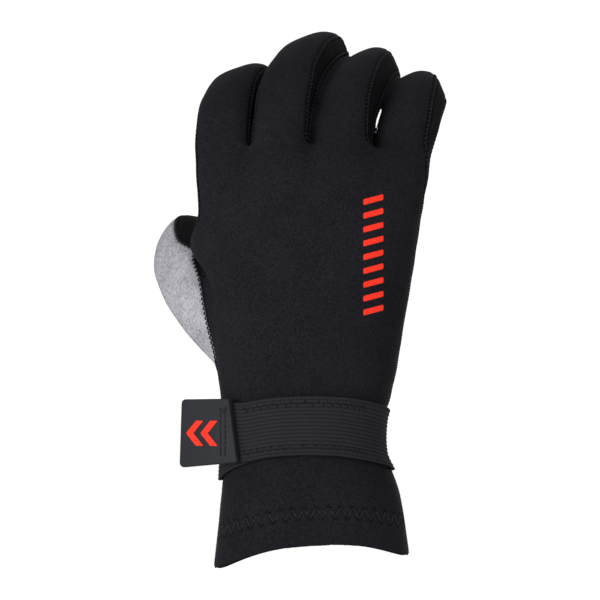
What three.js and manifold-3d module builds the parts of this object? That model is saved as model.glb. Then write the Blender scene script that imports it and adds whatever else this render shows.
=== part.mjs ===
// A right-hand neoprene paddling glove in the shape that it has when worn: fingers up and
// gently curled, thumb reaching forward, an elastic wrist strap with a rubber pull tab.
// Units are millimetres. +Z runs from the cuff to the fingers, -Y is the back of the hand,
// +Y the palm side and -X the thumb side. The origin is the middle of the cuff's mouth.

import * as THREE from "three";
import { mergeVertices } from "three/addons/utils/BufferGeometryUtils.js";
import Module from "manifold-3d";

const wasm = await Module();
wasm.setup();

// Driving dimensions
const WALL = 2.5; // neoprene sheet
const SEAM_GAP = 0.36; // between neighbouring panels
const SEAT_GAP = 0.3; // between a piece and what carries it
const HEM = { height: 11.6, thick: 1.8, lip: 0.9 }; // the edge turned in, above the rim
const STRAP = { width: 23.6, thick: 1.6, step: 13, tail: 10.5 };
const TAB = {
  length: 26.4,
  height: 27.6,
  thick: 3.0,
  slant: 3.8, // the root edge's top is this much shorter
  corner: 1.8,
  bevel: 0.4,
  yaw: 30, // degrees that it is turned away from the back of the wrist
  overlap: 0.8, // how far along the strap's straight end it starts
  drop: 0.4, // its middle is this much lower than the strap's
};

// Sections of the hand and cuff, from the mouth up. Each is a rounded box lying flat at
// height z, with its middle at x, and it reaches `back` towards -Y and `palm` towards +Y.
const HAND = [
  { z: 0, x: 0.0, halfWidth: 38.8, back: 28.6, palm: 28.6 },
  { z: 24, x: -0.4, halfWidth: 35.4, back: 25.0, palm: 25.4 },
  { z: 32, x: -1.5, halfWidth: 33.6, back: 24.0, palm: 24.3 },
  { z: 40, x: -3.2, halfWidth: 31.6, back: 23.0, palm: 23.4 },
  { z: 53, x: -3.2, halfWidth: 31.6, back: 22.2, palm: 22.8 },
  { z: 61, x: -2.4, halfWidth: 33.4, back: 22.1, palm: 23.0 },
  { z: 70, x: -1.9, halfWidth: 34.9, back: 21.8, palm: 23.4 },
  { z: 86, x: -1.4, halfWidth: 36.9, back: 21.2, palm: 24.2 },
  { z: 104, x: -0.6, halfWidth: 39.4, back: 20.6, palm: 23.4 },
  { z: 120, x: -0.9, halfWidth: 42.3, back: 20.2, palm: 20.6 },
  { z: 136, x: -0.8, halfWidth: 44.2, back: 18.2, palm: 17.0 },
  { z: 147, x: -0.2, halfWidth: 44.4, back: 14.0, palm: 14.6 },
  { z: 154, x: 0.1, halfWidth: 44.0, back: 9.8, palm: 13.2 },
  { z: 158, x: 0.1, halfWidth: 43.0, back: 6.8, palm: 12.0 },
];
const HAND_SQUARENESS = 2.5; // 2 is an ellipse, more is boxier
const HAND_SIDES = { outside: 32, inside: 20 };
const BELOW_RIM = 20; // the hollow is cut this far down through the mouth

// The rim is a saddle: it hangs low at the two side seams, lower at the thumb side.
const RIM = { roll: 2.6, saddle: 6.8, fadeTo: 46 };
// The webs between the fingers slope down towards the palm.
const WEB = { slope: 0.4, middle: 2, fadeFrom: 140, fadeTo: 158 };

// Centre lines of the digits, from inside the hand to the middle of the rounded tip, with
// the tube's half width across and half depth from back to palm. A finger is turned by
// `turn` degrees about its own line, so that its outer side comes to the back.
const DIGITS = {
  index: {
    tip: 8.5,
    rows: [
      { x: -33.6, y: -2.6, z: 136, halfWidth: 9.8, halfDepth: 9.8, turn: 0 },
      { x: -35.0, y: 0.6, z: 150, halfWidth: 11.0, halfDepth: 11.0, turn: 2 },
      { x: -34.8, y: 6.5, z: 165, halfWidth: 11.2, halfDepth: 10.8, turn: 9 },
      { x: -33.2, y: 15.0, z: 176.5, halfWidth: 10.9, halfDepth: 10.6, turn: 16 },
      { x: -29.8, y: 26.0, z: 183, halfWidth: 10.7, halfDepth: 10.3, turn: 20 },
      { x: -25.8, y: 37.0, z: 185.4, halfWidth: 10.5, halfDepth: 10.1, turn: 22 },
      { x: -22.8, y: 45.0, z: 185.6, halfWidth: 10.0, halfDepth: 9.6, turn: 22 },
    ],
  },
  middle: {
    tip: 8.8,
    rows: [
      { x: -12.6, y: -4.6, z: 138, halfWidth: 10.8, halfDepth: 10.4, turn: 0 },
      { x: -12.5, y: -2.4, z: 153, halfWidth: 11.6, halfDepth: 11.4, turn: 2 },
      { x: -11.6, y: 5.0, z: 170, halfWidth: 11.3, halfDepth: 11.2, turn: 11 },
      { x: -9.2, y: 15.0, z: 185, halfWidth: 10.9, halfDepth: 11.0, turn: 18 },
      { x: -4.2, y: 28.0, z: 193.7, halfWidth: 10.8, halfDepth: 10.7, turn: 22 },
      { x: 1.0, y: 41.0, z: 197.6, halfWidth: 10.5, halfDepth: 10.4, turn: 24 },
      { x: 4.8, y: 51.5, z: 198.6, halfWidth: 10.0, halfDepth: 9.8, turn: 24 },
    ],
  },
  ring: {
    tip: 8.6,
    rows: [
      { x: 11.8, y: -4.4, z: 137, halfWidth: 10.8, halfDepth: 10.4, turn: 0 },
      { x: 11.8, y: -1.8, z: 152, halfWidth: 11.6, halfDepth: 11.3, turn: 3 },
      { x: 13.0, y: 5.6, z: 168, halfWidth: 11.3, halfDepth: 11.0, turn: 12 },
      { x: 16.0, y: 15.5, z: 181, halfWidth: 10.9, halfDepth: 10.8, turn: 19 },
      { x: 20.0, y: 27.5, z: 188.3, halfWidth: 10.6, halfDepth: 10.4, turn: 23 },
      { x: 23.4, y: 39.5, z: 191.6, halfWidth: 10.3, halfDepth: 10.1, turn: 25 },
      { x: 25.2, y: 49.0, z: 192.5, halfWidth: 9.8, halfDepth: 9.6, turn: 25 },
    ],
  },
  little: {
    tip: 8.0,
    rows: [
      { x: 33.2, y: -1.8, z: 134, halfWidth: 9.6, halfDepth: 9.6, turn: 0 },
      { x: 35.0, y: 2.0, z: 148, halfWidth: 11.0, halfDepth: 10.6, turn: 3 },
      { x: 36.4, y: 8.0, z: 161, halfWidth: 11.2, halfDepth: 10.4, turn: 12 },
      { x: 39.2, y: 16.0, z: 172, halfWidth: 11.2, halfDepth: 10.2, turn: 18 },
      { x: 41.4, y: 25.0, z: 179, halfWidth: 11.0, halfDepth: 9.9, turn: 22 },
      { x: 42.8, y: 34.0, z: 182.6, halfWidth: 10.4, halfDepth: 9.7, turn: 23 },
      { x: 43.4, y: 41.5, z: 183.4, halfWidth: 9.6, halfDepth: 9.2, turn: 23 },
    ],
  },
  thumb: {
    tip: 9.5,
    rows: [
      { x: -15.4, y: 7.0, z: 72, halfWidth: 13.6, halfDepth: 13.4 },
      { x: -28.6, y: 12.0, z: 87.4, halfWidth: 14.6, halfDepth: 14.4 },
      { x: -41.6, y: 19.5, z: 102.4, halfWidth: 14.6, halfDepth: 14.0 },
      { x: -49.0, y: 30.0, z: 114, halfWidth: 13.2, halfDepth: 12.8 },
      { x: -50.2, y: 42.0, z: 120.8, halfWidth: 12.2, halfDepth: 11.8 },
      { x: -48.4, y: 54.5, z: 122.4, halfWidth: 11.8, halfDepth: 11.2 },
      { x: -44.4, y: 66.0, z: 122.4, halfWidth: 10.8, halfDepth: 10.2 },
    ],
  },
};
const FINGERS = ["index", "middle", "ring", "little"];
const THUMB_ACROSS = new THREE.Vector3(0.5, -0.6, 0.8); // from the thumb towards the index
const DIGIT_SQUARENESS = 2.6;
const DIGIT_SIDES = { outside: 14, inside: 10 };
const TIP_ANGLES = [21, 38, 70].map(THREE.MathUtils.degToRad);

// Where the side seams run: the depth y of the back panel's edge and of the palm panel's
// edge, at each height, on the thumb side and on the little finger's side. Where the two
// are equal there is one seam, and elsewhere a side strip lies between them.
const SIDE_SEAMS = [
  { z: -30, thumbBack: 1, thumbPalm: 1, littleBack: 0.6, littlePalm: 0.6 },
  { z: 72, thumbBack: 2, thumbPalm: 2, littleBack: 0.8, littlePalm: 0.8 },
  { z: 102, thumbBack: 6.2, thumbPalm: 6.2, littleBack: 1.0, littlePalm: 1.0 },
  { z: 111, thumbBack: 6, thumbPalm: 13, littleBack: 1.0, littlePalm: 1.0 },
  { z: 121, thumbBack: 1, thumbPalm: 17, littleBack: 0.7, littlePalm: 1.6 },
  { z: 132, thumbBack: -4.0, thumbPalm: 13, littleBack: 0.2, littlePalm: 3.4 },
  { z: 144, thumbBack: -5.0, thumbPalm: 7.5, littleBack: -1.6, littlePalm: 6.5 },
  { z: 154, thumbBack: -3.6, thumbPalm: 7.4, littleBack: -0.8, littlePalm: 9.8 },
  { z: 163, thumbBack: 0.1, thumbPalm: 11.0, littleBack: 4.0, littlePalm: 14.4 },
];
const SEAM_SIDE_X = 34; // the seam tables hold at this distance from the middle
const SEAM_MIDDLE = { Back: -6.0, Palm: 5.4 }; // y at the webs in the middle of the hand
const WEB_SEAM_Z = 138; // from here up the middle of the seam follows the webs
const ABOVE_WEBS = 2.5; // the hand's seam region ends this far above the webs
const CORNER = 0.5; // a finger's seam runs this share of its half depth from its middle
const SEAM_CLOSES_AT = 0.79; // the seams meet where the tip is this share of full size
// The seam between the grey palm and the black cuff, which rises at the ball of the thumb.
const WRIST_SEAM = [
  { x: -60, z: 86 },
  { x: -35, z: 85 },
  { x: -25, z: 70 },
  { x: 60, z: 68 },
];
// The black strip on the thumb's inner side: the row it starts at, and the share of the
// half width where its edges run, at that row and at each row after it.
const GUSSET = { fromRow: 2, corners: [0.97, 0.78, 0.72, 0.72, 0.72] };
// The thumb's seam rises off the hand's face between two heights, to `out` from it.
const THUMB_SEAM = { out: 4.0, from: 66, to: 104 };

// The strap's path round the wrist, from its start under its own end: the angle round the
// section, the height of its middle and the distance of its inner face from the cuff.
const STRAP_PATH = [
  { angle: -112, z: 50.0, out: 0.6 },
  { angle: -130, z: 47.6, out: 0.6 },
  { angle: -180, z: 40.5, out: 0.6 },
  { angle: -270, z: 42.5, out: 0.6 },
  { angle: -360, z: 45.0, out: 0.6 },
  { angle: -405, z: 48.6, out: 0.7 },
  { angle: -430, z: 50.6, out: 1.5 },
  { angle: -450, z: 51.1, out: 2.5 },
  { angle: -468, z: 50.2, out: 2.6 },
  { angle: -488, z: 48.1, out: 2.6 },
];

const MATERIALS = {
  neoprene: { color: 0x232429, roughness: 0.85, metalness: 0 },
  side: { color: 0x1c1d21, roughness: 0.88, metalness: 0 },
  palm: { color: 0xb0aeb4, roughness: 0.92, metalness: 0 },
  elastic: { color: 0x28282b, roughness: 0.8, metalness: 0 },
  rubber: { color: 0x343539, roughness: 0.55, metalness: 0 },
};

// Reads a table at a fractional row number, smoothly, in all of its columns.
function rowAt(rows, t) {
  const i = Math.min(Math.floor(t), rows.length - 2);
  const f = t - i;
  const near = [i - 1, i, i + 1, i + 2].map(
    (k) => rows[THREE.MathUtils.clamp(k, 0, rows.length - 1)],
  );
  const read = {};
  for (const column of Object.keys(rows[0])) {
    const [a, b, c, d] = near.map((row) => row[column]);
    read[column] =
      b + 0.5 * f * (c - a + f * (2 * a - 5 * b + 4 * c - d + f * (3 * (b - c) + d - a)));
  }
  return read;
}

// Reads a table in straight lines at a value of one of its columns, which rises.
function rowWhere(rows, column, value) {
  const top = rows.length - 1;
  const next = rows.findIndex((row) => row[column] > value);
  const i = next < 0 ? top : Math.max(next, 1);
  const [a, b] = [rows[i - 1], rows[i]];
  const share = THREE.MathUtils.clamp((value - a[column]) / (b[column] - a[column]), 0, 1);
  const read = {};
  for (const name of Object.keys(a)) {
    read[name] = THREE.MathUtils.lerp(a[name], b[name], share);
  }
  return read;
}

// A point of a superellipse of unit half axes.
function roundedBox(angle, squareness) {
  const bend = (v) => Math.sign(v) * Math.abs(v) ** (2 / squareness);
  return [bend(Math.cos(angle)), bend(Math.sin(angle))];
}

// Points and triangles as a solid that faces out.
function solidFrom(points, triangles) {
  const made = (faces) =>
    new wasm.Manifold(
      new wasm.Mesh({
        numProp: 3,
        vertProperties: new Float32Array(points.flat()),
        triVerts: new Uint32Array(faces.flat()),
      }),
    );
  const solid = made(triangles);
  return solid.volume() > 0 ? solid : made(triangles.map(([a, b, c]) => [a, c, b]));
}

// A closed solid through rings of equal point counts, with a fan at both ends.
function loft(rings) {
  const count = rings[0].length;
  const points = rings.flat().map((p) => p.toArray());
  const triangles = [];
  for (let r = 0; r + 1 < rings.length; r++) {
    for (let i = 0; i < count; i++) {
      const a = r * count + i;
      const b = r * count + ((i + 1) % count);
      triangles.push([a, b, b + count], [a, b + count, a + count]);
    }
  }
  for (const r of [0, rings.length - 1]) {
    const middle = new THREE.Vector3();
    rings[r].forEach((p) => middle.add(p));
    points.push(middle.divideScalar(count).toArray());
    const m = points.length - 1;
    for (let i = 0; i < count; i++) {
      const a = r * count + i;
      const b = r * count + ((i + 1) % count);
      triangles.push(r === 0 ? [m, b, a] : [m, a, b]);
    }
  }
  return solidFrom(points, triangles);
}

// A three.js geometry as a solid.
function solidOf(geometry) {
  const bare = geometry.index ? geometry.toNonIndexed() : geometry.clone();
  bare.deleteAttribute("normal");
  bare.deleteAttribute("uv");
  const merged = mergeVertices(bare, 1e-4);
  return new wasm.Manifold(
    new wasm.Mesh({
      numProp: 3,
      vertProperties: new Float32Array(merged.attributes.position.array),
      triVerts: new Uint32Array(merged.index.array),
    }),
  );
}

// A solid as a named mesh.
function meshOf(name, solid, look) {
  const made = solid.getMesh();
  const geometry = new THREE.BufferGeometry();
  geometry.setAttribute("position", new THREE.BufferAttribute(made.vertProperties, 3));
  geometry.setIndex(new THREE.BufferAttribute(made.triVerts, 1));
  geometry.computeVertexNormals();
  const mesh = new THREE.Mesh(geometry, new THREE.MeshStandardMaterial(look));
  mesh.name = name;
  return mesh;
}

const joined = (solids) => solids.reduce((a, b) => a.add(b));

// The bodies of a cut, largest first. Small crumbs that a cut leaves come last.
const bodiesOf = (solid) => solid.decompose().sort((a, b) => b.volume() - a.volume());

// How far a point of the hand's surface is lifted: the saddle of the rim and the slope of
// the webs. sideways and depth are the section's own coordinates.
function lift(z, sideways, depth, y) {
  const atRim = 1 - THREE.MathUtils.smoothstep(z, 0, RIM.fadeTo);
  const atWebs = THREE.MathUtils.smoothstep(z, WEB.fadeFrom, WEB.fadeTo);
  return (
    atRim * (RIM.roll * sideways + RIM.saddle * (Math.abs(depth) ** 3 - 0.5)) -
    atWebs * WEB.slope * (y - WEB.middle)
  );
}

// A point at an angle round a section of the hand, `outward` of its face. The lift at the
// rim and the webs is left out where `level` is set.
function handPoint(section, angle, outward, level = false) {
  const [sideways, depth] = roundedBox(angle, HAND_SQUARENESS);
  const reach = (depth < 0 ? section.back : section.palm) + outward;
  const y = depth * reach;
  return new THREE.Vector3(
    section.x + sideways * (section.halfWidth + outward),
    y,
    section.z + (level ? 0 : lift(section.z, sideways, depth, y)),
  );
}

// A ring of points round a section. Rings of the hollow have fewer sides.
function handRing(section, outward) {
  const sides = outward <= -WALL ? HAND_SIDES.inside : HAND_SIDES.outside;
  return Array.from({ length: sides }, (_, i) =>
    handPoint(section, (2 * Math.PI * i) / sides, outward),
  );
}

// The hand and cuff as one solid, grown by `outward`, and by what `more` adds at each
// height. `mouth` carries its open end down.
function handSolid(outward, mouth = 0, more = () => 0) {
  const rings = HAND.map((section, i) => {
    const isTop = i === HAND.length - 1;
    const z = isTop ? section.z + outward : section.z;
    return handRing({ ...section, z }, outward + more(section.z));
  });
  if (mouth > 0) {
    const down = new THREE.Vector3(0, 0, -mouth);
    rings.unshift(handRing(HAND[0], outward).map((p) => p.add(down)));
  }
  return loft(rings);
}

// The section of a digit at a fractional row: its middle, its directions and its sizes.
function digitFrame(digit, t) {
  const last = digit.rows.length - 1;
  const row = rowAt(digit.rows, t);
  const step = 0.02;
  const ahead = rowAt(digit.rows, Math.min(t + step, last));
  const behind = rowAt(digit.rows, Math.max(t - step, 0));
  const along = new THREE.Vector3(ahead.x - behind.x, ahead.y - behind.y, ahead.z - behind.z);
  along.normalize();
  const side = digit === DIGITS.thumb ? THUMB_ACROSS.clone() : new THREE.Vector3(1, 0, 0);
  side.addScaledVector(along, -side.dot(along)).normalize();
  side.applyAxisAngle(along, THREE.MathUtils.degToRad(-(row.turn ?? 0)));
  return {
    middle: new THREE.Vector3(row.x, row.y, row.z),
    along,
    side,
    back: new THREE.Vector3().crossVectors(side, along),
    halfWidth: row.halfWidth,
    halfDepth: row.halfDepth,
  };
}

const digitPoint = (frame, sideways, back, forward) =>
  frame.middle
    .clone()
    .addScaledVector(frame.side, sideways)
    .addScaledVector(frame.back, back)
    .addScaledVector(frame.along, forward);

// The rings of a digit up to its rounded tip: the frame of each, how far it lies beyond
// the middle of the tip, and the share of the size that it keeps there.
function digitStations(digit, tipLength, fromRow = 0) {
  const last = digit.rows.length - 1;
  const stations = [];
  for (let t = fromRow; t <= last; t++) {
    stations.push({ frame: digitFrame(digit, t), row: t, forward: 0, keep: 1 });
  }
  const end = digitFrame(digit, last);
  for (const angle of TIP_ANGLES) {
    const forward = tipLength * Math.sin(angle);
    stations.push({ frame: end, row: last, forward, keep: Math.cos(angle) });
  }
  return stations;
}

// A digit as a closed tube, grown by `outward`.
function digitSolid(digit, outward) {
  const sides = outward <= -WALL ? DIGIT_SIDES.inside : DIGIT_SIDES.outside;
  const rings = digitStations(digit, digit.tip + outward).map((station) =>
    Array.from({ length: sides }, (_, i) => {
      const angle = (2 * Math.PI * (i + 0.5)) / sides;
      const [sideways, back] = roundedBox(angle, DIGIT_SQUARENESS);
      const { frame, forward, keep } = station;
      return digitPoint(
        frame,
        sideways * keep * (frame.halfWidth + outward),
        back * keep * (frame.halfDepth + outward),
        forward,
      );
    }),
  );
  return loft(rings);
}

// A band that follows a digit and runs out past its tip. It lies beyond the seam that
// `cornerAt` places at each row, measured to the back (`axis` "back") or to the side
// (`axis` "side"), towards `sign`, and starts `inset` further.
function digitRegion(digit, axis, sign, cornerAt, inset, fromRow) {
  const beyond = 0.8;
  const sideRoom = (axis === "back" ? 0.4 : beyond) - inset;
  const ringOf = ({ frame, row, forward, keep }) => {
    const half = axis === "back" ? frame.halfDepth : frame.halfWidth;
    const room = (axis === "back" ? frame.halfWidth : frame.halfDepth) + sideRoom;
    const open = Math.max(keep - SEAM_CLOSES_AT, 0) / (1 - SEAM_CLOSES_AT);
    const near = sign * (open * cornerAt(row) * half + inset);
    const far = sign * (half + beyond);
    const corners = [
      [-room, near],
      [room, near],
      [room, far],
      [-room, far],
    ];
    return corners.map(([u, v]) =>
      axis === "back" ? digitPoint(frame, u, v, forward) : digitPoint(frame, v, u, forward),
    );
  };
  const stations = digitStations(digit, digit.tip, fromRow);
  stations[0].forward = inset;
  const past = { ...stations.at(-1), forward: digit.tip + beyond, keep: 0 };
  return loft([...stations, past].map(ringOf)).intersect(digitSolid(digit, 0.6 - inset));
}

// The depth y of the hand's seam, on the back panel's or on the palm panel's edge.
function seamDepth(x, z, edge) {
  const row = rowWhere(SIDE_SEAMS, "z", z);
  const side = x < 0 ? row[`thumb${edge}`] : row[`little${edge}`];
  const atWebs = THREE.MathUtils.smoothstep(z, WEB_SEAM_Z, WEB_SEAM_Z + 10);
  const middle = THREE.MathUtils.lerp(side, SEAM_MIDDLE[edge], atWebs);
  return THREE.MathUtils.lerp(middle, side, Math.min(Math.abs(x) / SEAM_SIDE_X, 1));
}

// The region on the back's side (sign -1) or the palm's side (sign 1) of the hand's seam.
// Its top is parallel to the webs.
function handRegion(sign, edge, inset) {
  const fromZ = -30;
  const webZ = HAND.at(-1).z + ABOVE_WEBS;
  const topAt = (y) => webZ - inset - WEB.slope * (y - WEB.middle);
  const farX = SEAM_SIDE_X * 2;
  const farY = 60;
  const stepX = SEAM_SIDE_X / 3;
  const levels = SIDE_SEAMS.map((row) => row.z).filter((z) => z < webZ - 2);
  const rings = [];
  for (let x = -farX; x <= farX; x += stepX) {
    const upper = seamDepth(x, webZ, edge) + sign * inset;
    rings.push([
      ...levels.map((z) => new THREE.Vector3(x, seamDepth(x, z, edge) + sign * inset, z)),
      new THREE.Vector3(x, upper, topAt(upper)),
      new THREE.Vector3(x, sign * farY, topAt(sign * farY)),
      new THREE.Vector3(x, sign * farY, fromZ),
    ]);
  }
  return loft(rings);
}

// The region under the wrist seam, with its top moved up by `raise`.
function cuffRegion(raise) {
  const [far, low] = [60, -30];
  return loft(
    WRIST_SEAM.map(({ x, z }) => [
      new THREE.Vector3(x, -far, low),
      new THREE.Vector3(x, far, low),
      new THREE.Vector3(x, far, z + raise),
      new THREE.Vector3(x, -far, z + raise),
    ]),
  );
}

// The glove's whole skin: its outside less its hollow.
function skinSolid() {
  const digits = (outward) =>
    Object.values(DIGITS).map((digit) => digitSolid(digit, outward));
  const outside = joined([handSolid(0), ...digits(0)]);
  return outside.subtract(joined([handSolid(-WALL, BELOW_RIM), ...digits(-WALL)]));
}

// The skin cut into its sewn panels, with half the seam gap taken off each edge.
function panels() {
  const half = SEAM_GAP / 2;
  const skin = skinSolid();
  const fingers = FINGERS.map((name) => DIGITS[name]);
  const backRegion = (inset) =>
    joined([
      handRegion(-1, "Back", inset),
      ...fingers.map((digit) => digitRegion(digit, "back", 1, () => CORNER, inset, 1)),
    ]);
  const palmRegion = (inset) =>
    joined([
      handRegion(1, "Palm", inset),
      ...fingers.map((digit) => digitRegion(digit, "back", -1, () => CORNER, inset, 1)),
    ]);
  const { fromRow, corners } = GUSSET;
  const gussetRegion = (inset) =>
    digitRegion(DIGITS.thumb, "side", 1, (row) => corners[row - fromRow], inset, fromRow);

  // The thumb's own side of its seam, which lies on the hand's face or a little off it.
  const { out, from, to } = THUMB_SEAM;
  const seamOut = (z) => out * THREE.MathUtils.smoothstep(z, from, to);
  const thumbRegion = (inset) =>
    digitSolid(DIGITS.thumb, 1).subtract(handSolid(inset, 0, seamOut));

  const [backReach, palmReach] = [backRegion(-half), palmRegion(-half)];
  const thumbReach = thumbRegion(-half);
  const back = skin.intersect(backRegion(half)).subtract(palmReach.add(thumbReach));
  const front = skin.intersect(palmRegion(half)).subtract(backReach.add(thumbReach));
  const thumb = skin.intersect(thumbRegion(half)).subtract(gussetRegion(-half));
  const notStrips = backReach
    .add(palmReach)
    .subtract(thumbRegion(half))
    .add(thumbReach.subtract(gussetRegion(half)));
  return {
    back: bodiesOf(back),
    palm: bodiesOf(front.subtract(cuffRegion(half))),
    cuff: bodiesOf(front.intersect(cuffRegion(-half))),
    thumb: bodiesOf(thumb),
    strips: bodiesOf(skin.subtract(notStrips)),
  };
}

// The cuff's edge turned in: a ring against the inside of the cuff, up from the rim.
function hem() {
  const outward = -WALL - SEAT_GAP;
  const hollow = handSolid(outward - HEM.thick, BELOW_RIM);
  const around = handSolid(outward).subtract(hollow);
  const levelAt = (height) =>
    handRing(HAND[0], 1).map((p) => new THREE.Vector3(p.x, p.y, p.z + height));
  return around.intersect(loft([levelAt(HEM.lip), levelAt(HEM.height)]));
}

// The elastic strap, wound round the wrist over its own start. Its end leaves the wrist
// straight, and the tab is sewn on there: `end` says where and which way.
function strap() {
  const path = STRAP_PATH.map((row) => ({ ...row, turned: -row.angle }));
  const halfWidth = STRAP.width / 2;
  const heights = [-halfWidth, 0, halfWidth];
  const edgePoint = (row, dz, outward) => {
    const section = rowWhere(HAND, "z", row.z + dz);
    const angle = THREE.MathUtils.degToRad(-row.turned);
    return handPoint(section, angle, row.out + outward, true);
  };
  const ringAt = (turned) => {
    const row = rowWhere(path, "turned", turned);
    return [
      ...heights.map((dz) => edgePoint(row, dz, 0)),
      ...heights.toReversed().map((dz) => edgePoint(row, dz, STRAP.thick)),
    ];
  };
  const [first, last] = [path[0].turned, path.at(-1).turned];
  const steps = Math.round((last - first) / STRAP.step);
  const rings = Array.from({ length: steps + 1 }, (_, i) =>
    ringAt(THREE.MathUtils.lerp(first, last, i / steps)),
  );

  const yaw = THREE.MathUtils.degToRad(TAB.yaw);
  const along = new THREE.Vector3(-Math.cos(yaw), Math.sin(yaw), 0);
  const outwards = new THREE.Vector3(-Math.sin(yaw), -Math.cos(yaw), 0);
  const root = rings.at(-1)[4].clone();
  const straightRing = (distance) => {
    const at = (dz, outward) =>
      root
        .clone()
        .addScaledVector(along, distance)
        .addScaledVector(outwards, outward)
        .add(new THREE.Vector3(0, 0, dz));
    return [
      ...heights.map((dz) => at(dz, -STRAP.thick)),
      ...heights.toReversed().map((dz) => at(dz, 0)),
    ];
  };
  rings.push(straightRing(STRAP.tail * 0.3), straightRing(STRAP.tail));
  return { solid: loft(rings), end: { root, along, outwards } };
}

// The pull tab, a slab with cut corners and a slanted root edge, on the strap's end.
function tab({ root, along, outwards }) {
  const half = TAB.height / 2;
  const outline = new THREE.Shape();
  outline.moveTo(TAB.slant, -half);
  outline.lineTo(TAB.length - TAB.corner, -half);
  outline.lineTo(TAB.length, TAB.corner - half);
  outline.lineTo(TAB.length, half - TAB.corner);
  outline.lineTo(TAB.length - TAB.corner, half);
  outline.lineTo(0, half);
  const slab = new THREE.ExtrudeGeometry(outline, {
    depth: TAB.thick - 2 * TAB.bevel,
    bevelThickness: TAB.bevel,
    bevelSize: TAB.bevel,
    bevelOffset: -TAB.bevel,
    bevelSegments: 1,
  });
  const down = new THREE.Vector3(0, 0, -1);
  slab.translate(0, 0, TAB.bevel);
  slab.applyMatrix4(new THREE.Matrix4().makeBasis(along, down, outwards));
  const foot = root
    .clone()
    .addScaledVector(outwards, SEAT_GAP)
    .addScaledVector(along, TAB.overlap)
    .add(new THREE.Vector3(0, 0, -TAB.drop));
  slab.translate(foot.x, foot.y, foot.z);
  return solidOf(slab);
}

const made = panels();
const wound = strap();

// Each strip is known by where its middle lies.
const middleOf = (solid) => {
  const box = solid.boundingBox();
  return new THREE.Vector3(...box.min).add(new THREE.Vector3(...box.max)).multiplyScalar(0.5);
};
const STRIP_NAMES = [
  "thumb_gusset",
  "fourchette_index_middle",
  "fourchette_middle_ring",
  "fourchette_ring_little",
  "little_side_strip",
];
const strips = made.strips.slice(0, STRIP_NAMES.length);
strips.sort((a, b) => middleOf(a).x - middleOf(b).x);

const glove = new THREE.Group();
glove.name = "neoprene_glove";
glove.add(
  meshOf("back_panel", made.back[0], MATERIALS.neoprene),
  meshOf("palm_panel", made.palm[0], MATERIALS.palm),
  meshOf("palm_cuff", made.cuff[0], MATERIALS.neoprene),
  meshOf("thumb_panel", made.thumb[0], MATERIALS.palm),
  ...strips.map((solid, i) => meshOf(STRIP_NAMES[i], solid, MATERIALS.side)),
  meshOf("cuff_hem", hem(), MATERIALS.side),
  meshOf("wrist_strap", wound.solid, MATERIALS.elastic),
  meshOf("strap_tab", tab(wound.end), MATERIALS.rubber),
);
export default glove;
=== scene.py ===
# The looks of a right-hand neoprene paddling glove: stretch panels with flat zigzag
# seams, a ribbed elastic wrist strap and a moulded pull tab.
# The tables are in millimetres, in the frame of the solids: +Z from the cuff to the
# fingers, -Y the back of the hand, -X the thumb side. Objects are made in metres.
import math

import bpy
import numpy as np
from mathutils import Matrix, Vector, kdtree


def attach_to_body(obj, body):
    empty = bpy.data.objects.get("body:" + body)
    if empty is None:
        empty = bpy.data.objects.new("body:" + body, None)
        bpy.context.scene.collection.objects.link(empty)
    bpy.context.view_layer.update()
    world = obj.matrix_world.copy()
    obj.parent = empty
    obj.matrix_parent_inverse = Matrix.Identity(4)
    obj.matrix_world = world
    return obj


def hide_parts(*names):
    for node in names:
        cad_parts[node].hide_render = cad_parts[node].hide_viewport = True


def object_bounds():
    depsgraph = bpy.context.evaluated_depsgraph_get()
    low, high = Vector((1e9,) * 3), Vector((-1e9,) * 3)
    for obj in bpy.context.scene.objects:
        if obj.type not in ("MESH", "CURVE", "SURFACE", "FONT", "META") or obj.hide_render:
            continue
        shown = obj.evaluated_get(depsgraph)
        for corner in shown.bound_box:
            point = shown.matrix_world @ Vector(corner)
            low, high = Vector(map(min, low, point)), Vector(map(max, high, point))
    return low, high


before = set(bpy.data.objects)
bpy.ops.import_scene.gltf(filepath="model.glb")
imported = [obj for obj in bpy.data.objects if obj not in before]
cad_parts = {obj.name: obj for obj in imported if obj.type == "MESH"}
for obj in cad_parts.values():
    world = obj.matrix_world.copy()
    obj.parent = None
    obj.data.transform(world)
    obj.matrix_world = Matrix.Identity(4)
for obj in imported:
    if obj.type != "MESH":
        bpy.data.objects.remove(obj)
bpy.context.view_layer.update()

MM = 0.001

# Camera: a long lens level with the hand, looking at its back
PICTURE_MM = 240.0  # how much of the object the picture takes in, side to side
SENSOR_MM = 36.0
LENS_MM = 1000.0
AIM = (-4.6, 8.0, 101.0)  # the point in the middle of the picture, at true scale


def put(name, data):
    """A new object in the scene."""
    made = bpy.data.objects.new(name, data)
    bpy.context.scene.collection.objects.link(made)
    return made


def make_camera():
    data = bpy.data.cameras.new("camera")
    data.sensor_width = SENSOR_MM
    data.lens = LENS_MM
    distance = PICTURE_MM * LENS_MM / SENSOR_MM
    data.clip_start = distance * MM * 0.05
    data.clip_end = distance * MM * 10
    camera = put("camera", data)
    camera.location = (AIM[0] * MM, (AIM[1] - distance) * MM, AIM[2] * MM)
    camera.rotation_euler = (math.pi / 2, 0, 0)
    bpy.context.scene.camera = camera


make_camera()

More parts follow.
